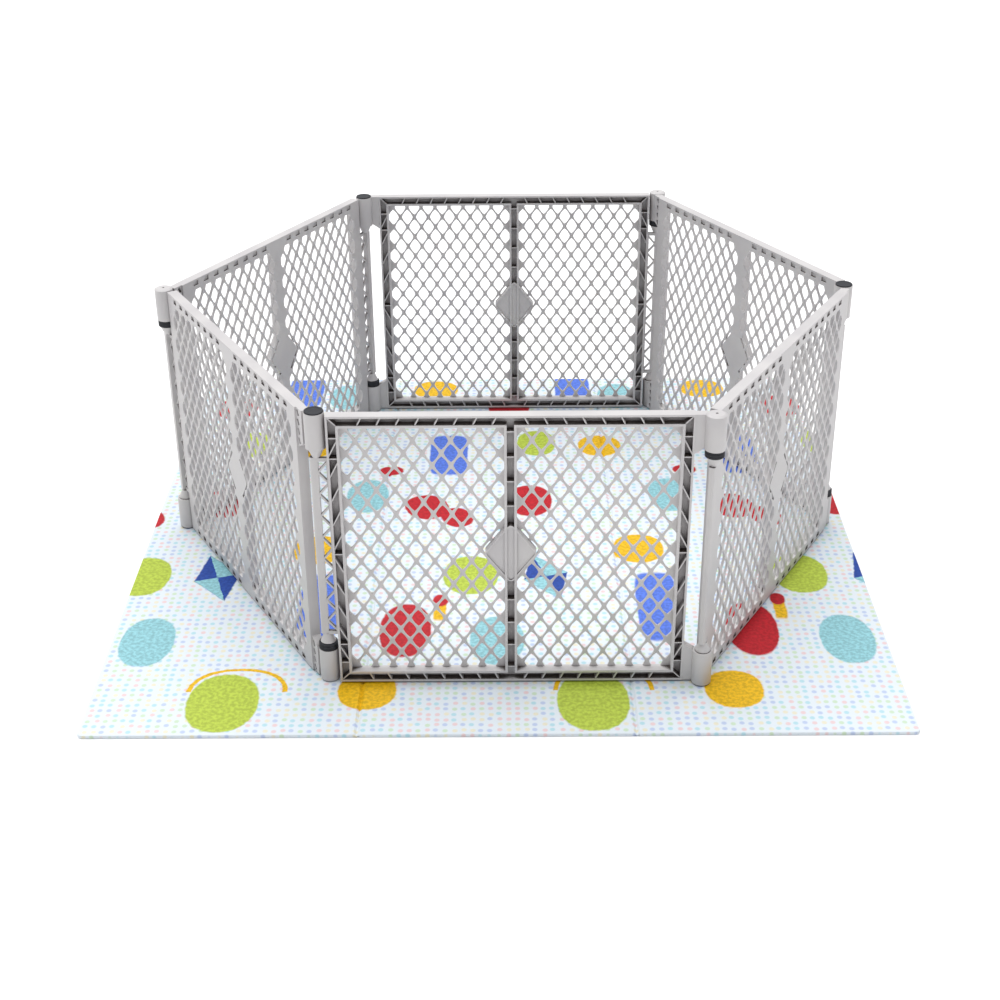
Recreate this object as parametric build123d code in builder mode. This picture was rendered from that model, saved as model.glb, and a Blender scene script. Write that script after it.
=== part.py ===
from build123d import *
from math import atan2, cos, degrees, hypot, radians, sqrt, tan
import os

os.makedirs("parts", exist_ok=True)

# Six-panel folding playpen standing on a foam mat, in millimetres, +Z up.
# The origin is on the floor under the middle of the mat.
# One moulded panel is used six times, every second one turned upside down.

# ---- Driving dimensions ----
panel_names = ("front", "front_right", "rear_right", "rear", "rear_left", "front_left")
open_corner = "rear"         # its post has no pins, so the ring opens there to fold
hinge_pitch = 813.0          # between a panel's two hinge axes, along the panel
fence_height = 650.0         # from the feet to the tops of the knuckles
frame_height = 642.0         # of the moulded panel frame
panel_depth = 24.0           # thickness of a panel
fold_gap = 1.0               # left between two folded panels
post_reach = 24.0            # from the frame's edge to the axis of its hinge post
bracket_reach = 41.0         # from the frame's edge to the axis of its brackets

rail_width = 26.0            # width of the frame's U-shaped rails
outer_wall = 4.5             # wall along the outside of the rails
inner_wall = 5.5             # wall along the window side of the rails
sheet_depth = 5.0            # of the rails' closed back and of the lattice
rib_thickness = 2.6
rib_depth = 22.0             # ribs stop short of the open face
rib_lean = 27.0              # lean of the slanted ribs from upright, in degrees

cell_width = 39.0            # diamond lattice, across
cell_height = 56.9           # diamond lattice, upwards
strand_width = 3.4           # at its thinnest, halfway between two crossings
hole_share = 0.77            # of a cell's width and height that its hole takes
long_row = 9                 # diamonds in a long row, cut by the rails at both ends
short_row = 8
half_rows = 10               # half-height steps of the lattice above and below its middle

plate_width = 112.0          # blank diamond plate at the panel's middle
plate_height = 146.0
plate_depth = 23.0
plate_floor = 20.0           # depth of the plate inside its raised rim
plate_rim = 3.0
plate_tip = 9.0              # rounding of the plate's corners

knuckle_radius = 21.5
knuckle_length = 80.0
ring_length = 16.0           # rubber ring at the inner end of a domed knuckle
pad_thickness = 3.0          # rubber pad at the outer end of a padded knuckle
dome_height = 3.0
dome_hole = 3.0              # radius of the small hole in the dome
pin_radius = 8.0
pin_clearance = 0.05         # radial running clearance in the knuckles
pin_insertion = 26.0         # length of pin inside a knuckle
bore_depth = 34.0
end_gap = 1.5                # between a post's collar and the knuckle it faces

post_outer = 14.0            # from the post's axis to its free edge
post_inner = 3.0             # from the post's axis to its strip
post_thickness = 14.0
collar_length = 20.0
collar_radius = 17.0
collar_neck = 8.5

mat_width = 1770.0
mat_length = 1810.0
mat_thickness = 8.0
mat_section = 588.0          # between the mat's fold seams
foot_gap = 0.2               # the fence stands this far above the mat's face
fence_offset = 30.0          # the ring stands this far right of the mat's middle

# ---- Worked out from them ----
side_count = len(panel_names)
axis_offset = (panel_depth + fold_gap) / 2
frame_width = hinge_pitch - post_reach - bracket_reach
post_x = -frame_width / 2 - post_reach
bracket_x = frame_width / 2 + bracket_reach
axes_middle = (post_x + bracket_x) / 2
window_width = (frame_width - 3 * rail_width) / 2
window_height = frame_height - 2 * rail_width
window_x = (window_width + rail_width) / 2
channel_width = rail_width - outer_wall - inner_wall
half_height = fence_height / 2
apothem = hinge_pitch * sqrt(3) / 2
corner_shift = axis_offset * tan(radians(180 / side_count))
fence_middle = mat_thickness + foot_gap + half_height
dome_inner = half_height - knuckle_length - ring_length
pad_inner = half_height - knuckle_length - pad_thickness

# A panel is drawn in XZ from its closed back, with its open rails facing -Y.
back = Plane.XZ.offset(-panel_depth / 2)
windows = ((-window_x, 0), (window_x, 0))

# ---- Panel: rails, ribs, lattice, middle rib and plate in one moulding ----
half_cell = (cell_width / 2, cell_height / 2)
hole_x = half_cell[0] * hole_share
hole_z = half_cell[1] * hole_share
side_share = (1 - strand_width / 2 * hypot(*half_cell) / (half_cell[0] * half_cell[1])) / 2
side_x = half_cell[0] * side_share
side_z = half_cell[1] * side_share
lattice_holes = []
for row in range(-half_rows, half_rows + 1):
    count = long_row if row % 2 else short_row
    for column in range(count):
        across = (column - (count - 1) / 2) * cell_width
        lattice_holes.append((across - window_x, row * half_cell[1]))
        lattice_holes.append((across + window_x, row * half_cell[1]))

with BuildSketch() as lattice_hole:
    with BuildLine():
        for turn_x, turn_z in ((1, 1), (-1, 1), (-1, -1), (1, -1)):
            ThreePointArc((turn_x * hole_x, 0), (turn_x * side_x, turn_z * side_z), (0, turn_z * hole_z))
    make_face()

with BuildSketch(back) as diamonds:
    with Locations(*lattice_holes):
        add(lattice_hole.sketch)
    with BuildSketch(back, mode=Mode.INTERSECT):
        with Locations(*windows):
            Rectangle(window_width, window_height)

side_rail_x = (frame_width - channel_width) / 2 - outer_wall
top_rail_z = (frame_height - channel_width) / 2 - outer_wall
rib_bite = 2.0               # ribs run this far into the rails' walls in all
top_rib_length = channel_width / cos(radians(rib_lean)) + rib_bite
side_rib_length = channel_width / cos(radians(90 - rib_lean)) + rib_bite
mitre_length = channel_width * sqrt(2) + 2 * rib_bite
top_rib_places = [rail_width / 2 + cell_width * (index + 0.5) for index in range(8)]
slanted_rib_heights = [cell_height * (index + 0.5) for index in range(4)] + [248.0]
square_rib_heights = (225.0, 271.5)
rung_heights = [cell_height * index for index in range(6)]

with BuildSketch(back) as ribs:
    for turn_x in (-1, 1):
        for turn_z in (-1, 1):
            # Ribs lean towards the panel's middle at its mid-height.
            turn = 90 + turn_x * turn_z * rib_lean
            for place in top_rib_places:
                with Locations((turn_x * place, turn_z * top_rail_z)):
                    Rectangle(top_rib_length, rib_thickness, rotation=turn)
            for height in slanted_rib_heights:
                with Locations((turn_x * side_rail_x, turn_z * height)):
                    Rectangle(side_rib_length, rib_thickness, rotation=turn)
            for height in square_rib_heights:
                with Locations((turn_x * side_rail_x, turn_z * height)):
                    Rectangle(channel_width + rib_bite, rib_thickness)
            with Locations((turn_x * side_rail_x, turn_z * top_rail_z)):
                Rectangle(mitre_length, rib_thickness, rotation=45 * turn_x * turn_z)
        with Locations((turn_x * side_rail_x, 0)):
            Rectangle(channel_width + rib_bite, rib_thickness)
    for height in rung_heights:
        with Locations((0, height), (0, -height)):
            Rectangle(rail_width - 2 * inner_wall + rib_bite, rib_thickness)

core_size = (18.0, 11.0)     # row of shallow pockets in the back of the top and bottom rails
core_depth = 3.8
core_height = frame_height / 2 - outer_wall - core_size[1] / 2
core_places = [rail_width / 2 + cell_width * index for index in range(1, 9)]
with BuildSketch(back) as cores:
    for place in core_places:
        for turn_z in (-1, 1):
            with Locations((place, turn_z * core_height), (-place, turn_z * core_height)):
                Rectangle(*core_size)

plate_corners = (
    (plate_width / 2, 0),
    (0, plate_height / 2),
    (-plate_width / 2, 0),
    (0, -plate_height / 2),
)
with BuildSketch(back) as plate_outline:
    Polygon(*plate_corners)
    fillet(plate_outline.vertices(), plate_tip)

with BuildPart() as panel:
    with BuildSketch(back):
        Rectangle(frame_width, frame_height)
        add(diamonds.sketch, mode=Mode.SUBTRACT)
    extrude(amount=sheet_depth)
    with BuildSketch(back):
        add(cores.sketch)
    extrude(amount=core_depth, mode=Mode.SUBTRACT, clean=False)
    with BuildSketch(back):
        Rectangle(frame_width, frame_height)
        Rectangle(frame_width - 2 * outer_wall, frame_height - 2 * outer_wall, mode=Mode.SUBTRACT)
        with Locations(*windows):
            Rectangle(window_width + 2 * inner_wall, window_height + 2 * inner_wall)
            Rectangle(window_width, window_height, mode=Mode.SUBTRACT)
    extrude(amount=panel_depth, clean=False)
    with BuildSketch(back.offset(sheet_depth - 1)):
        add(ribs.sketch.moved(Pos(0, -(sheet_depth - 1), 0)))
    extrude(amount=rib_depth - sheet_depth + 1, clean=False)
    with BuildSketch(back):
        add(plate_outline.sketch)
    extrude(amount=plate_depth, clean=False)
    with BuildSketch(back.offset(plate_depth)):
        add(plate_outline.sketch.moved(Pos(0, -plate_depth, 0)))
        offset(amount=-plate_rim, mode=Mode.REPLACE)
    extrude(amount=plate_floor - plate_depth, mode=Mode.SUBTRACT, clean=False)

# ---- Brackets: a knuckle on a web that stands out from the frame's edge ----
web_front = -panel_depth / 2 + 1
web_back = 8.0
knuckle_bite = 5.0           # the web runs this far into the knuckle
web_drop = 12.0              # the web's inner edge slopes down to the frame
slot_count = 4
slot_size = (7.0, 13.0)
slot_depth = 11.0


def bracket_plane(height):
    """Plane across a panel's bracket axis at this height."""
    return Plane(origin=(bracket_x, -axis_offset, height), z_dir=(0, 0, 1))


def add_web(outer, inner):
    """Web from the frame into a knuckle, cored from behind by a stack of slanted slots."""
    side = 1 if outer > 0 else -1
    start = frame_width / 2
    end = bracket_x - knuckle_radius + knuckle_bite
    corners = ((start, outer), (end, outer), (end, inner + side * 4), (start, inner - side * web_drop))
    with BuildSketch(Plane.XZ.offset(-web_back)) as outline:
        Polygon(*corners, align=None)
    extrude(outline.sketch, amount=web_back - web_front)
    pitch = (outer - inner + side * web_drop / 2) / slot_count
    with BuildSketch(Plane.XZ.offset(-web_back)) as slots:
        for index in range(slot_count):
            with Locations((start + slot_size[0], outer - pitch * (index + 0.5))):
                Rectangle(*slot_size, rotation=-rib_lean)
    extrude(slots.sketch, amount=slot_depth, mode=Mode.SUBTRACT)


def add_knuckle(outer, inner):
    """Solid knuckle between two end faces, bored for a pin from its inner end."""
    side = 1 if outer > 0 else -1
    with BuildSketch(bracket_plane(inner)) as body:
        Circle(knuckle_radius)
    extrude(body.sketch, amount=outer - inner)
    with BuildSketch(bracket_plane(inner)) as bore:
        Circle(pin_radius + pin_clearance)
    extrude(bore.sketch, amount=side * bore_depth, mode=Mode.SUBTRACT)


with BuildPart() as dome_bracket:
    add_web(frame_height / 2, dome_inner + ring_length)
    add_knuckle(half_height - dome_height, dome_inner + ring_length)
    with BuildSketch(bracket_plane(half_height - dome_height)):
        Circle(knuckle_radius)
    extrude(amount=dome_height, taper=60)
    with BuildSketch(bracket_plane(half_height)):
        Circle(dome_hole)
    extrude(amount=-2 * dome_height, mode=Mode.SUBTRACT)

with BuildPart() as pad_bracket:
    add_web(-frame_height / 2, -pad_inner)
    add_knuckle(-half_height + pad_thickness, -pad_inner)

with BuildPart() as rubber_ring:
    with BuildSketch(bracket_plane(dome_inner)):
        Circle(knuckle_radius - 1.0)
        Circle(pin_radius + 0.5, mode=Mode.SUBTRACT)
    extrude(amount=ring_length)
    chamfer(rubber_ring.faces().sort_by(Axis.Z)[0].outer_wire().edges(), length=2.0)

with BuildPart() as skid_pad:
    with BuildSketch(bracket_plane(-half_height)):
        Circle(knuckle_radius - 1.5)
    extrude(amount=pad_thickness)
    chamfer(skid_pad.faces().sort_by(Axis.Z)[0].outer_wire().edges(), length=1.0)


# ---- Hinge post: an upright bar on a laced strip, with a collar at each end ----
def post_plane(height):
    """Plane across a panel's post axis at this height."""
    return Plane(origin=(post_x, axis_offset, height), z_dir=(0, 0, 1))


collar_top = pad_inner - end_gap
collar_bottom = -dome_inner + end_gap
post_top = collar_top - collar_length
post_bottom = collar_bottom + collar_length
strip_left = post_x + post_inner - 1
strip_right = -frame_width / 2
strip_middle = (strip_left + strip_right) / 2
strip_width = strip_right - strip_left
strip_back = panel_depth / 2
strip_depth = 8.0
strip_end = 8.0              # height of the strip's closed ends
lace_width = 4.0
lace_steps = 16
strip_centre = (post_top + post_bottom) / 2
strip_height = post_top - post_bottom
lace_pitch = (strip_height - 2 * strip_end) / lace_steps
lace_turn = degrees(atan2(lace_pitch, strip_width))

with BuildPart() as hinge_post:
    with BuildSketch(post_plane(post_bottom)) as post_section:
        with Locations(((post_inner - post_outer) / 2, 0)):
            Rectangle(post_inner + post_outer, post_thickness)
        chamfer(post_section.vertices().group_by(Axis.X)[0], length=3.0)
    extrude(amount=post_top - post_bottom)
    with BuildSketch(post_plane(post_top)):
        Circle(collar_neck)
    with BuildSketch(post_plane(collar_top)):
        Circle(collar_radius)
    loft()
    with BuildSketch(post_plane(post_bottom)):
        Circle(collar_neck)
    with BuildSketch(post_plane(collar_bottom)):
        Circle(collar_radius)
    loft()
    with BuildSketch(Plane.XZ.offset(-strip_back)):
        for side in (-1, 1):
            with Locations((strip_middle, strip_centre + side * (strip_height - strip_end) / 2)):
                Rectangle(strip_width, strip_end)
        with Locations((strip_right - lace_width / 2, strip_centre)):
            Rectangle(lace_width, strip_height)
        for index in range(lace_steps):
            height = post_bottom + strip_end + lace_pitch * (index + 0.5)
            turn = lace_turn if index % 2 else -lace_turn
            with Locations((strip_middle, height)):
                Rectangle(hypot(strip_width, lace_pitch) + lace_width, lace_width, rotation=turn)
        with Locations((strip_middle, strip_centre)):
            Rectangle(strip_width, strip_height, mode=Mode.INTERSECT)
    extrude(amount=strip_depth)

with BuildPart() as hinge_pins:
    with BuildSketch(post_plane(collar_top)):
        Circle(pin_radius)
    extrude(amount=end_gap + pin_insertion)
    with BuildSketch(post_plane(collar_bottom)):
        Circle(pin_radius)
    extrude(amount=-(end_gap + ring_length + pin_insertion))
    pin_ends = hinge_pins.faces().filter_by(Axis.Z).sort_by(Axis.Z)
    chamfer(pin_ends[-1].edges() + pin_ends[0].edges(), length=2.0)

# ---- Mat: one folding foam sheet in three sections ----
seam_width = 3.0
seam_depth = 3.0
mat_corner = 12.0
seam_places = (mat_section - mat_width / 2, 2 * mat_section - mat_width / 2)
with BuildPart() as play_mat:
    with BuildSketch():
        RectangleRounded(mat_width, mat_length, mat_corner)
    extrude(amount=mat_thickness)
    with BuildSketch(Plane.XY.offset(mat_thickness)):
        for place in seam_places:
            with Locations((place, 0)):
                Rectangle(seam_width, mat_length + 2)
    extrude(amount=-seam_depth, mode=Mode.SUBTRACT)

play_mat.part.label = "play_mat"
export_step(play_mat.part, "parts/play_mat.step")

# ---- The ring: each panel with its brackets, post, rubber and pins ----
pieces = {
    "panel": panel.part,
    "dome_bracket": dome_bracket.part,
    "pad_bracket": pad_bracket.part,
    "rubber_ring": rubber_ring.part,
    "skid_pad": skid_pad.part,
    "hinge_post": hinge_post.part,
    "hinge_pins": hinge_pins.part,
}
for index, panel_name in enumerate(panel_names):
    flipped = index % 2 == 1
    shift = -corner_shift if flipped else corner_shift
    flip = Rotation(180, 0, 0) if flipped else Rotation(0, 0, 0)
    turn = Rotation(0, 0, 360 / side_count * index)
    place = Pos(fence_offset, 0, fence_middle) * turn * Pos(shift, -apothem, 0) * flip
    place = place * Pos(-axes_middle, 0, 0)
    for piece_name, piece in pieces.items():
        if panel_name == open_corner and piece_name == "hinge_pins":
            continue
        node = f"{panel_name}_{piece_name}"
        placed = piece.moved(place)
        placed.label = node
        export_step(placed, f"parts/{node}.step")
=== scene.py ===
import math
import bmesh
import bpy
from mathutils import Matrix, Vector


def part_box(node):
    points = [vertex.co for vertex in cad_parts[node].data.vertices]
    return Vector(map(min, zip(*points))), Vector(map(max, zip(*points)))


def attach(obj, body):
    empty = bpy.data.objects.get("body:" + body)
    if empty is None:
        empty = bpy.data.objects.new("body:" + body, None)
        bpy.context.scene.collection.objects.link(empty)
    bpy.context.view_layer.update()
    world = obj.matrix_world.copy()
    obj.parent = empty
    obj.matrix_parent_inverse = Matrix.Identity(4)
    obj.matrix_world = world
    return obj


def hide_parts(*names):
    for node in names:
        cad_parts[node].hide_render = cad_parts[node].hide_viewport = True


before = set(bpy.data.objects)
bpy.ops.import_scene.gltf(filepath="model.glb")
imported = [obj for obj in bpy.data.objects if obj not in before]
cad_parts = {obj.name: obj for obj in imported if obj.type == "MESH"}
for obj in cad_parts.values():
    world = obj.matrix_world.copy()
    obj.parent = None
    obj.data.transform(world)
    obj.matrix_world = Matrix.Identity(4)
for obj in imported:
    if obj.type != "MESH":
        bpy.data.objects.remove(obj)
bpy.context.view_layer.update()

panelNames = ("front", "front_right", "rear_right", "rear", "rear_left", "front_left")


# Helpers for node trees.
def newMaterial(name):
    material = bpy.data.materials.new(name)
    material.use_nodes = True
    nodes = material.node_tree.nodes
    nodes.clear()
    output = nodes.new("ShaderNodeOutputMaterial")
    shader = nodes.new("ShaderNodeBsdfPrincipled")
    material.node_tree.links.new(shader.outputs["BSDF"], output.inputs["Surface"])
    return material, shader


def addNode(tree, kind, values=None, **options):
    node = tree.nodes.new(kind)
    for key, value in options.items():
        setattr(node, key, value)
    for key, value in (values or {}).items():
        node.inputs[key].default_value = value
    return node


def objectPlace(tree):
    return addNode(tree, "ShaderNodeTexCoord").outputs["Object"]


def mathOf(tree, operation, a, b=None):
    node = addNode(tree, "ShaderNodeMath", operation=operation)
    for socket, value in zip(node.inputs, (a, b)):
        if value is None:
            continue
        if isinstance(value, (int, float)):
            socket.default_value = value
        else:
            tree.links.new(value, socket)
    return node.outputs[0]


def rangeOf(tree, value, low, high, toLow=0.0, toHigh=1.0):
    node = addNode(tree, "ShaderNodeMapRange")
    node.interpolation_type = "SMOOTHSTEP"
    for key, number in (("From Min", low), ("From Max", high), ("To Min", toLow), ("To Max", toHigh)):
        node.inputs[key].default_value = number
    tree.links.new(value, node.inputs["Value"])
    return node.outputs["Result"]


def mixColour(tree, factor, a, b):
    node = addNode(tree, "ShaderNodeMix", data_type="RGBA", blend_type="MIX")
    for socket, value in ((node.inputs[0], factor), (node.inputs[6], a), (node.inputs[7], b)):
        if isinstance(value, (int, float)):
            socket.default_value = value
        elif isinstance(value, tuple):
            socket.default_value = (*value, 1.0)
        else:
            tree.links.new(value, socket)
    return node.outputs[2]


def noiseOf(tree, place, scale, detail=2.0, roughness=0.5):
    node = addNode(tree, "ShaderNodeTexNoise", {"Scale": scale, "Detail": detail, "Roughness": roughness})
    tree.links.new(place, node.inputs["Vector"])
    return node.outputs["Fac"]


def bumpFrom(tree, shader, height, strength, distance):
    node = addNode(tree, "ShaderNodeBump", {"Strength": strength, "Distance": distance})
    tree.links.new(height, node.inputs["Height"])
    tree.links.new(node.outputs["Normal"], shader.inputs["Normal"])


# Finishes.
greyPlastic = {
    "colour": (0.605, 0.585, 0.580),
    "shade": (0.545, 0.525, 0.530),
    "web": (0.27, 0.245, 0.25),
    "ledgeShadeColour": (0.060, 0.045, 0.038),
    "patchScale": 9.0,
    "grainScale": 900.0,
    "grainStrength": 0.12,
    "grainDepth": 0.0004,
    "roughness": (0.38, 0.52),
    "hollowDepth": 0.024,
    "webOpenness": (0.10, 0.50),
    "ledgeShadeOpenness": (0.45, 0.75),
    "ledgeShadeFacing": (0.45, 0.75),
}


def makeGreyPlastic():
    # Satin moulded plastic with a fine spark-eroded grain, with painted shade darkening its hollows and the
    # ledges inside its rails.
    material, shader = newMaterial("moulded_grey_plastic")
    tree = material.node_tree
    place = objectPlace(tree)
    patches = noiseOf(tree, place, greyPlastic["patchScale"], 3.0)
    colour = mixColour(tree, rangeOf(tree, patches, 0.3, 0.7), greyPlastic["shade"], greyPlastic["colour"])
    # Painted shade: wherever the occlusion finds the plastic shut in, its colour goes dark.
    hollow = addNode(tree, "ShaderNodeAmbientOcclusion", {"Distance": greyPlastic["hollowDepth"]}, samples=8)
    openness = hollow.outputs["AO"]
    hollowShadeMask = rangeOf(tree, openness, *greyPlastic["webOpenness"], 1.0, 0.0)
    colour = mixColour(tree, hollowShadeMask, colour, greyPlastic["web"])
    # Painted shade: what faces up inside the rails, where little light reaches, is darkened to near black.
    facing = addNode(tree, "ShaderNodeSeparateXYZ")
    tree.links.new(addNode(tree, "ShaderNodeNewGeometry").outputs["Normal"], facing.inputs[0])
    upward = rangeOf(tree, facing.outputs["Z"], *greyPlastic["ledgeShadeFacing"])
    shaded = rangeOf(tree, openness, *greyPlastic["ledgeShadeOpenness"], 1.0, 0.0)
    colour = mixColour(tree, mathOf(tree, "MULTIPLY", upward, shaded), colour, greyPlastic["ledgeShadeColour"])
    tree.links.new(colour, shader.inputs["Base Color"])
    low, high = greyPlastic["roughness"]
    tree.links.new(rangeOf(tree, patches, 0.3, 0.7, low, high), shader.inputs["Roughness"])
    grain = noiseOf(tree, place, greyPlastic["grainScale"], 1.0)
    bumpFrom(tree, shader, grain, greyPlastic["grainStrength"], greyPlastic["grainDepth"])
    return material


rubber = {
    "colour": (0.012, 0.013, 0.018),
    "worn": (0.035, 0.037, 0.045),
    "patchScale": 60.0,
    "grainScale": 1400.0,
    "grainStrength": 0.3,
    "grainDepth": 0.0003,
    "roughness": (0.55, 0.75),
}


def makeRubber():
    # Matt black rubber, worn a little greyer in patches.
    material, shader = newMaterial("black_rubber")
    tree = material.node_tree
    place = objectPlace(tree)
    patches = noiseOf(tree, place, rubber["patchScale"], 4.0, 0.6)
    colour = mixColour(tree, rangeOf(tree, patches, 0.4, 0.75), rubber["colour"], rubber["worn"])
    tree.links.new(colour, shader.inputs["Base Color"])
    low, high = rubber["roughness"]
    tree.links.new(rangeOf(tree, patches, 0.3, 0.7, low, high), shader.inputs["Roughness"])
    grain = noiseOf(tree, place, rubber["grainScale"], 2.0)
    bumpFrom(tree, shader, grain, rubber["grainStrength"], rubber["grainDepth"])
    return material


matPrint = {
    "film": (0.69, 0.75, 0.80),
    "dots": (
        (0.34, 0.62, 0.70),
        (0.40, 0.49, 0.72),
        (0.50, 0.66, 0.42),
        (0.74, 0.50, 0.50),
        (0.74, 0.68, 0.46),
    ),
    "dotPitch": 0.019,
    "dotRadius": 0.0050,
    "dotStrength": 0.75,
    "dotScatter": 0.25,
    "repeat": 0.8,
    "rope": 0.0045,
    "softEdge": 0.0025,
    "wobbleScale": 70.0,
    "wobble": 0.006,
    "inkGrainScale": 120.0,
    "inkShade": 0.72,
    "roughness": 0.5,
    "specular": 0.2,
    "pressedScale": 160.0,
    "pressedStrength": 0.35,
    "pressedDepth": 0.0006,
}

printColours = {
    "lime": (0.48, 0.60, 0.07),
    "teal": (0.30, 0.60, 0.66),
    "red": (0.52, 0.012, 0.022),
    "blue": (0.10, 0.20, 0.74),
    "yellow": (0.84, 0.50, 0.01),
    "navy": (0.02, 0.07, 0.36),
}
# Plain motifs of the print: shape, place from the mat's middle, half size, turn and colour.
printMotifs = (
    ("oval", 0.208, -0.785, 0.078, 0.107, 0.0, "lime"),
    ("arc", 0.233, -0.745, 0.105, 0.085, 0.0, "yellow"),
    ("oval", 0.517, -0.742, 0.064, 0.070, 0.0, "yellow"),
    ("oval", 0.000, -0.545, 0.062, 0.100, 0.0, "teal"),
    ("oval", 0.588, -0.500, 0.060, 0.112, 0.0, "red"),
    ("box", 0.665, -0.415, 0.015, 0.045, 0.0, "yellow"),
    ("oval", 0.665, -0.372, 0.018, 0.026, 0.0, "red"),
    ("box", 0.380, -0.400, 0.050, 0.150, 0.0, "blue"),
    ("oval", -0.064, -0.255, 0.067, 0.090, 0.0, "lime"),
    ("kite", 0.118, -0.262, 0.056, 0.112, 0.3, "navy"),
    ("quarters", 0.118, -0.262, 0.056, 0.112, 0.3, "teal"),
    ("oval", 0.352, -0.130, 0.064, 0.070, 0.0, "yellow"),
    ("oval", -0.185, 0.092, 0.056, 0.066, 0.35, "red"),
    ("oval", -0.105, 0.035, 0.040, 0.052, 0.35, "red"),
    ("oval", 0.085, 0.125, 0.058, 0.085, 0.0, "red"),
    ("oval", -0.345, 0.155, 0.055, 0.092, 0.0, "teal"),
    ("oval", -0.290, 0.300, 0.032, 0.026, 0.0, "red"),
    ("box", -0.136, 0.395, 0.052, 0.120, 0.0, "blue"),
    ("oval", 0.108, 0.465, 0.054, 0.078, 0.0, "lime"),
    ("oval", 0.285, 0.448, 0.060, 0.064, 0.0, "yellow"),
    ("oval", 0.032, 0.705, 0.060, 0.072, 0.0, "red"),
    ("oval", -0.447, 0.780, 0.056, 0.085, 0.0, "teal"),
    ("box", 0.223, 0.820, 0.052, 0.105, 0.0, "blue"),
    ("oval", -0.187, 0.830, 0.066, 0.062, 0.0, "yellow"),
)


def turned(tree, x, y, turn):
    # The place measured along axes that are turned by this angle.
    xCos = mathOf(tree, "MULTIPLY", x, math.cos(turn))
    ySin = mathOf(tree, "MULTIPLY", y, math.sin(turn))
    yCos = mathOf(tree, "MULTIPLY", y, math.cos(turn))
    xSin = mathOf(tree, "MULTIPLY", x, math.sin(turn))
    return mathOf(tree, "ADD", xCos, ySin), mathOf(tree, "SUBTRACT", yCos, xSin)


def motifMask(tree, x, y, motif):
    # 1 inside the motif and 0 outside; the motif comes again every repeat along X.
    shape, middleX, middleY, halfX, halfY, turn = motif[:-1]
    repeat = matPrint["repeat"]
    alongX = mathOf(tree, "WRAP", mathOf(tree, "SUBTRACT", x, middleX), repeat / 2)
    alongX.node.inputs[2].default_value = -repeat / 2
    alongY = mathOf(tree, "SUBTRACT", y, middleY)
    if turn:
        alongX, alongY = turned(tree, alongX, alongY, turn)
    u = mathOf(tree, "ABSOLUTE", mathOf(tree, "DIVIDE", alongX, halfX))
    v = mathOf(tree, "ABSOLUTE", mathOf(tree, "DIVIDE", alongY, halfY))
    soft = matPrint["softEdge"] / min(halfX, halfY)
    if shape in ("kite", "quarters"):
        distance = mathOf(tree, "ADD", u, v)
    else:
        # A high power gives a rounded box, and one near 2 an oval.
        power = 5.0 if shape == "box" else 2.2
        distance = mathOf(tree, "ADD", mathOf(tree, "POWER", u, power), mathOf(tree, "POWER", v, power))
        distance = mathOf(tree, "POWER", distance, 1.0 / power)
    if shape != "arc":
        inside = rangeOf(tree, distance, 1.0 - soft, 1.0 + soft, 1.0, 0.0)
        if shape == "quarters":
            crossed = mathOf(tree, "MULTIPLY", alongX, alongY)
            inside = mathOf(tree, "MULTIPLY", inside, rangeOf(tree, crossed, -0.00002, 0.00002))
        return inside
    width = matPrint["rope"] / halfY
    ring = mathOf(tree, "ABSOLUTE", mathOf(tree, "SUBTRACT", distance, 1.0))
    ring = rangeOf(tree, ring, width - soft / 2, width + soft / 2, 1.0, 0.0)
    return mathOf(tree, "MULTIPLY", ring, rangeOf(tree, alongY, -0.002, 0.002))


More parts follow.
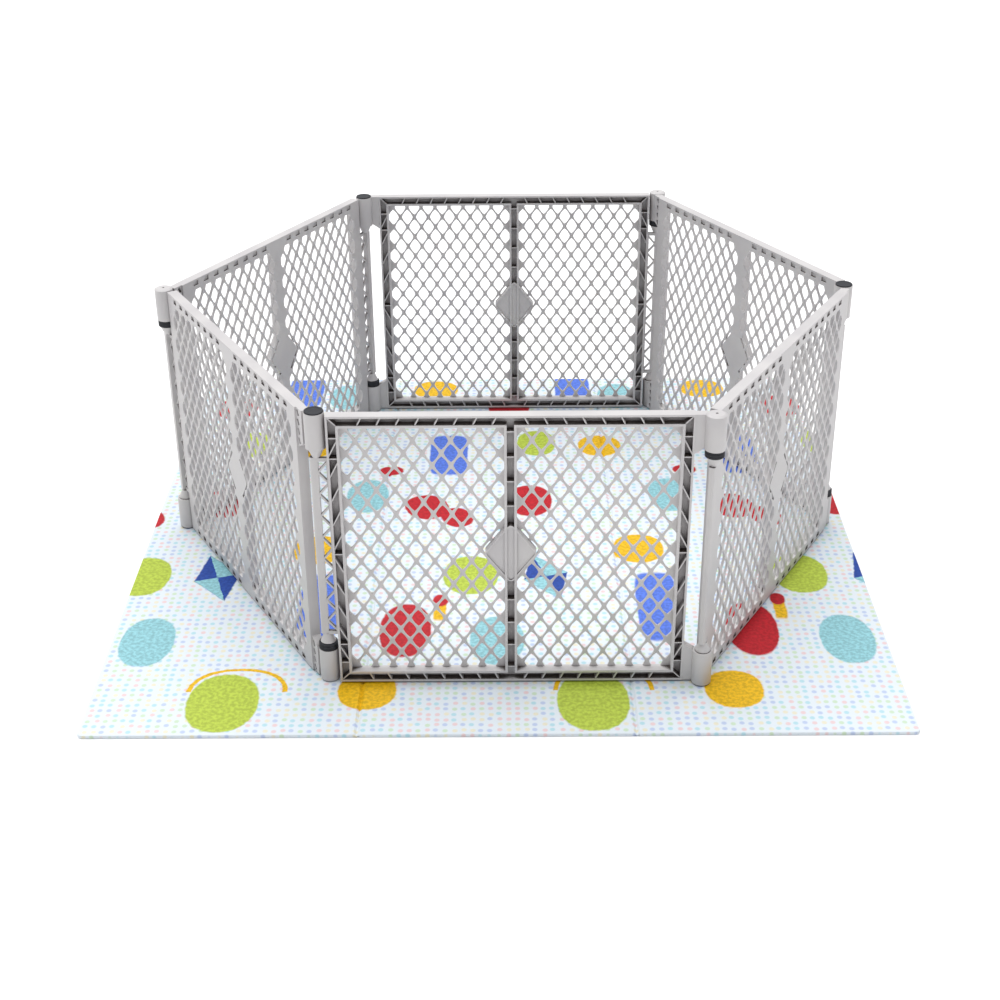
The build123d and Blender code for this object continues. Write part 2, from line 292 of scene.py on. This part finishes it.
def makeMatPrint():
    # Printed film on foam: pastel dots, plain coloured motifs and a fine pressed pattern.
    material, shader = newMaterial("printed_mat_film")
    tree = material.node_tree
    place = objectPlace(tree)
    wobble = addNode(tree, "ShaderNodeTexNoise", {"Scale": matPrint["wobbleScale"], "Detail": 2.0})
    tree.links.new(place, wobble.inputs["Vector"])
    shaken = addNode(tree, "ShaderNodeVectorMath", operation="MULTIPLY_ADD")
    shaken.inputs[1].default_value = (matPrint["wobble"], matPrint["wobble"], 0.0)
    tree.links.new(wobble.outputs["Color"], shaken.inputs[0])
    tree.links.new(place, shaken.inputs[2])
    split = addNode(tree, "ShaderNodeSeparateXYZ")
    tree.links.new(shaken.outputs[0], split.inputs[0])
    x, y = split.outputs["X"], split.outputs["Y"]

    # Rows of small pastel dots, each dot of its own colour.
    spacing = {"Scale": 1 / matPrint["dotPitch"], "Randomness": matPrint["dotScatter"]}
    cells = addNode(tree, "ShaderNodeTexVoronoi", spacing)
    cells.voronoi_dimensions = "2D"
    tree.links.new(place, cells.inputs["Vector"])
    radius = matPrint["dotRadius"] / matPrint["dotPitch"]
    dot = rangeOf(tree, cells.outputs["Distance"], radius * 0.7, radius * 1.5, 1.0, 0.0)
    ramp = addNode(tree, "ShaderNodeValToRGB")
    ramp.color_ramp.interpolation = "CONSTANT"
    for index, dotColour in enumerate(matPrint["dots"]):
        position = index / len(matPrint["dots"])
        stop = ramp.color_ramp.elements[0] if index == 0 else ramp.color_ramp.elements.new(position)
        stop.position = position
        stop.color = (*dotColour, 1.0)
    pick = addNode(tree, "ShaderNodeSeparateColor")
    tree.links.new(cells.outputs["Color"], pick.inputs[0])
    tree.links.new(pick.outputs[0], ramp.inputs["Fac"])
    strength = mathOf(tree, "MULTIPLY", dot, matPrint["dotStrength"])
    colour = mixColour(tree, strength, matPrint["film"], ramp.outputs["Color"])

    # The motifs, each in an ink that is unevenly dark.
    grain = rangeOf(tree, noiseOf(tree, place, matPrint["inkGrainScale"], 3.0), 0.35, 0.65)
    for motif in printMotifs:
        full = printColours[motif[-1]]
        ink = mixColour(tree, grain, tuple(part * matPrint["inkShade"] for part in full), full)
        colour = mixColour(tree, motifMask(tree, x, y, motif), colour, ink)
    tree.links.new(colour, shader.inputs["Base Color"])
    shader.inputs["Roughness"].default_value = matPrint["roughness"]
    shader.inputs["Specular IOR Level"].default_value = matPrint["specular"]
    pressed = addNode(tree, "ShaderNodeTexVoronoi", {"Scale": matPrint["pressedScale"]}, feature="SMOOTH_F1")
    tree.links.new(place, pressed.inputs["Vector"])
    depth = pressed.outputs["Distance"]
    bumpFrom(tree, shader, depth, matPrint["pressedStrength"], matPrint["pressedDepth"])
    return material


plastic = makeGreyPlastic()
blackRubber = makeRubber()
film = makeMatPrint()
# The finish of each CAD node, by the last word of its name.
finishes = {
    "panel": plastic,
    "bracket": plastic,
    "post": plastic,
    "pins": plastic,
    "ring": blackRubber,
    "pad": blackRubber,
    "mat": film,
}
print("stage: finishes made")


# The frame's own nodes.
def dress(node, material):
    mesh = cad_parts[node].data
    mesh.materials.clear()
    mesh.materials.append(material)


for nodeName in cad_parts:
    dress(nodeName, finishes[nodeName.rsplit("_", 1)[-1]])
print("stage: frame dressed")


edgeRounding = {
    "widths": {"bracket": 0.0009, "post": 0.0008, "panel": 0.0005},
    "sharpAngle": 40.0,
    "joinWithin": 0.00002,
}


def roundEdges(node, width):
    # Moulded edges are a little rounded: the CAD node's own mesh is left as it is.
    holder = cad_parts[node]
    weld = holder.modifiers.new("join_faces", "WELD")
    weld.merge_threshold = edgeRounding["joinWithin"]
    bevel = holder.modifiers.new("rounded_edges", "BEVEL")
    bevel.width = width
    bevel.segments = 2 if node.endswith("bracket") else 1
    bevel.limit_method = "ANGLE"
    bevel.angle_limit = math.radians(edgeRounding["sharpAngle"])
    bevel.use_clamp_overlap = True


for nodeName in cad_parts:
    width = edgeRounding["widths"].get(nodeName.rsplit("_", 1)[-1])
    if width:
        roundEdges(nodeName, width)
print("stage: edges rounded")


# New pieces, modelled over the CAD nodes that they stand for.
def editOn(piece):
    bpy.ops.object.select_all(action="DESELECT")
    piece.select_set(True)
    bpy.context.view_layer.objects.active = piece
    bpy.ops.object.mode_set(mode="EDIT")
    bpy.ops.mesh.select_all(action="DESELECT")


def editOff():
    bpy.ops.object.mode_set(mode="OBJECT")


def pick(piece, kind, wanted):
    # Select the vertices, edges or faces that pass a test of place or direction.
    bpy.ops.mesh.select_all(action="DESELECT")
    bpy.ops.mesh.select_mode(type={"verts": "VERT", "edges": "EDGE", "faces": "FACE"}[kind])
    mesh = bmesh.from_edit_mesh(piece.data)
    for item in getattr(mesh, kind):
        if wanted(item):
            item.select_set(True)
    mesh.select_flush_mode()
    bmesh.update_edit_mesh(piece.data)


def finishPiece(piece, name, node, body, material, angle=35):
    # Settle the piece at the origin, dress it, hang it on what it rides on, and hide the CAD node that it
    # stands for.
    bpy.ops.object.select_all(action="DESELECT")
    piece.select_set(True)
    bpy.context.view_layer.objects.active = piece
    bpy.ops.object.transform_apply(location=True, rotation=True, scale=True)
    bpy.ops.object.shade_smooth_by_angle(angle=math.radians(angle))
    piece.name = name
    piece.data.name = name
    piece.data.materials.clear()
    piece.data.materials.append(material)
    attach(piece, body)
    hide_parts(node)


def boxOf(node):
    # A CAD node's middle and size.
    low, high = (Vector(corner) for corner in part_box(node))
    return (low + high) / 2, high - low


matForm = {
    "corner": 0.012,
    "edge": 0.0028,
    "seamHalf": 0.006,
    "seamDepth": 0.0045,
    "section": 0.588,
    "near": 0.001,
}


def makeMat():
    # Three foam sections under one film, pressed to a narrow valley at each fold.
    middle, size = boxOf("play_mat")
    left = middle.x - size.x / 2
    near = matForm["near"]
    bpy.ops.mesh.primitive_cube_add(size=1.0, location=middle)
    mat = bpy.context.object
    editOn(mat)
    bpy.ops.mesh.select_all(action="SELECT")
    bpy.ops.transform.resize(value=tuple(size), center_override=middle)
    for seam in (left + matForm["section"], left + 2 * matForm["section"]):
        for shift in (-matForm["seamHalf"], 0.0, matForm["seamHalf"]):
            bpy.ops.mesh.select_all(action="SELECT")
            bpy.ops.mesh.bisect(plane_co=(seam + shift, 0, 0), plane_no=(1, 0, 0))
        pick(mat, "verts", lambda v: abs(v.co.x + middle.x - seam) < near and v.co.z > 0)
        bpy.ops.transform.translate(value=(0, 0, -matForm["seamDepth"]))
    # The four upright corner edges, and then the rims between the faces and the sides.
    pick(mat, "edges", lambda e: abs(e.verts[0].co.z - e.verts[1].co.z) > size.z * 0.9
         and size.x / 2 - abs(e.verts[0].co.x) < near)
    bpy.ops.mesh.bevel(offset=matForm["corner"], segments=8)
    pick(mat, "edges", lambda e: len(e.link_faces) == 2
         and sorted(abs(f.normal.z) > 0.5 for f in e.link_faces) == [False, True])
    bpy.ops.mesh.bevel(offset=matForm["edge"], segments=4)
    editOff()
    finishPiece(mat, "mat_foam_sheet", "play_mat", "mat", film, 25)


def startRound(node, sides):
    # A round blank that fills an upright round CAD node, in edit mode.
    middle, size = boxOf(node)
    radius = size.x / 2
    bpy.ops.mesh.primitive_cylinder_add(vertices=sides, radius=radius, depth=size.z, location=middle)
    piece = bpy.context.object
    editOn(piece)
    return piece, middle, radius, size.z


ringForm = {
    "hole": 0.0085,
    "rim": 0.0016,
    "groove": 0.0012,
    "grooveHalf": 0.0009,
    "sides": 72,
    "endNear": 0.0005,
    "loopNear": 0.0003,
}


def makeRing(panelName):
    # A black rubber bush with two turned grooves, round the pin by the domed knuckle.
    node = panelName + "_rubber_ring"
    ring, middle, radius, height = startRound(node, ringForm["sides"])
    pick(ring, "faces", lambda f: abs(f.normal.z) > 0.9)
    bpy.ops.mesh.inset(thickness=radius - ringForm["hole"], use_individual=True)
    bpy.ops.mesh.bridge_edge_loops()
    pick(ring, "edges", lambda e: all(abs(abs(v.co.z) - height / 2) < ringForm["endNear"]
         and v.co.xy.length > radius * 0.95 for v in e.verts))
    bpy.ops.mesh.bevel(offset=ringForm["rim"], segments=3)
    share = (radius - ringForm["groove"]) / radius
    for place in (-height / 6, height / 6):
        for shift in (-ringForm["grooveHalf"], 0.0, ringForm["grooveHalf"]):
            cut = (middle.x, middle.y, middle.z + place + shift)
            bpy.ops.mesh.select_all(action="SELECT")
            bpy.ops.mesh.bisect(plane_co=cut, plane_no=(0, 0, 1))
        pick(ring, "verts", lambda v: abs(v.co.z - place) < ringForm["loopNear"]
             and v.co.xy.length > radius * 0.8)
        bpy.ops.transform.resize(value=(share, share, 1), center_override=middle)
    editOff()
    body = panelName + "_side"
    finishPiece(ring, panelName + "_grooved_bush", node, body, blackRubber)


padForm = {
    "rim": 0.0012,
    "border": 0.0045,
    "step": 0.0008,
    "sink": 0.0006,
    "sides": 72,
    "flatNear": 0.0005,
    "faceArea": 0.0004,
}


def makePad(panelName):
    # A black rubber skid pad with a rolled rim and a shallow recess inside it.
    node = panelName + "_skid_pad"
    pad = startRound(node, padForm["sides"])[0]
    pick(pad, "edges", lambda e: abs(e.verts[0].co.z - e.verts[1].co.z) < padForm["flatNear"])
    bpy.ops.mesh.bevel(offset=padForm["rim"], segments=3)
    pick(pad, "faces", lambda f: abs(f.normal.z) > 0.9 and f.calc_area() > padForm["faceArea"])
    bpy.ops.mesh.inset(thickness=padForm["border"], use_individual=True)
    bpy.ops.mesh.inset(thickness=padForm["step"], depth=-padForm["sink"], use_individual=True)
    editOff()
    body = panelName + "_side"
    finishPiece(pad, panelName + "_skid_disc", node, body, blackRubber)


makeMat()
for panelName in panelNames:
    makeRing(panelName)
for panelName in panelNames:
    makePad(panelName)
print("stage: mat and rubber modelled")


# Stage, light and camera.
studio = {
    "floorSize": 40.0,
    "floorColour": (0.95, 0.95, 0.95),
    "floorGlow": 0.06,
    "world": (0.97, 0.98, 1.0),
    "worldStrength": 0.44,
    "floorRoughness": 0.9,
    "sunStrength": 3.2,
    "sunAngle": 70.0,
    "sunPlace": (0, 1.0, 4.0),
    "sunLean": (-14.0, -6.0, 0.0),
}


def makeFloor():
    bpy.ops.mesh.primitive_plane_add(size=studio["floorSize"], location=(0, 0, 0))
    floor = bpy.context.object
    floor.name = "studio_floor"
    material, shader = newMaterial("pale_floor")
    shader.inputs["Base Color"].default_value = (*studio["floorColour"], 1.0)
    shader.inputs["Roughness"].default_value = studio["floorRoughness"]
    shader.inputs["Emission Color"].default_value = (1, 1, 1, 1)
    shader.inputs["Emission Strength"].default_value = studio["floorGlow"]
    floor.data.materials.append(material)


def makeSoftLight():
    # One wide soft source overhead, a little behind the fence.
    light = bpy.data.lights.new("overhead_softbox", "SUN")
    light.energy = studio["sunStrength"]
    light.angle = math.radians(studio["sunAngle"])
    holder = bpy.data.objects.new("overhead_softbox", light)
    bpy.context.scene.collection.objects.link(holder)
    holder.location = studio["sunPlace"]
    holder.rotation_euler = [math.radians(lean) for lean in studio["sunLean"]]


def makeWorld():
    world = bpy.data.worlds.new("studio_world")
    world.use_nodes = True
    background = world.node_tree.nodes["Background"]
    background.inputs["Color"].default_value = (*studio["world"], 1.0)
    background.inputs["Strength"].default_value = studio["worldStrength"]
    bpy.context.scene.world = world


camera = {
    "place": (0.0193, -3.706, 2.078),
    "down": 28.38,
    "turn": 0.24,
    "roll": -0.43,
    "lens": 59.31,
    "sensor": 36.0,
    "clipEnd": 100.0,
}


def makeCamera():
    data = bpy.data.cameras.new("view_camera")
    data.lens = camera["lens"]
    data.sensor_width = camera["sensor"]
    data.clip_end = camera["clipEnd"]
    holder = bpy.data.objects.new("view_camera", data)
    bpy.context.scene.collection.objects.link(holder)
    aim = Matrix.Rotation(math.radians(camera["turn"]), 4, "Z")
    aim = aim @ Matrix.Rotation(math.radians(90 - camera["down"]), 4, "X")
    aim = aim @ Matrix.Rotation(math.radians(camera["roll"]), 4, "Z")
    holder.matrix_world = Matrix.Translation(camera["place"]) @ aim
    bpy.context.scene.camera = holder


makeFloor()
makeWorld()
makeSoftLight()
makeCamera()
bpy.context.scene.view_settings.view_transform = "Standard"
print("stage: studio set")
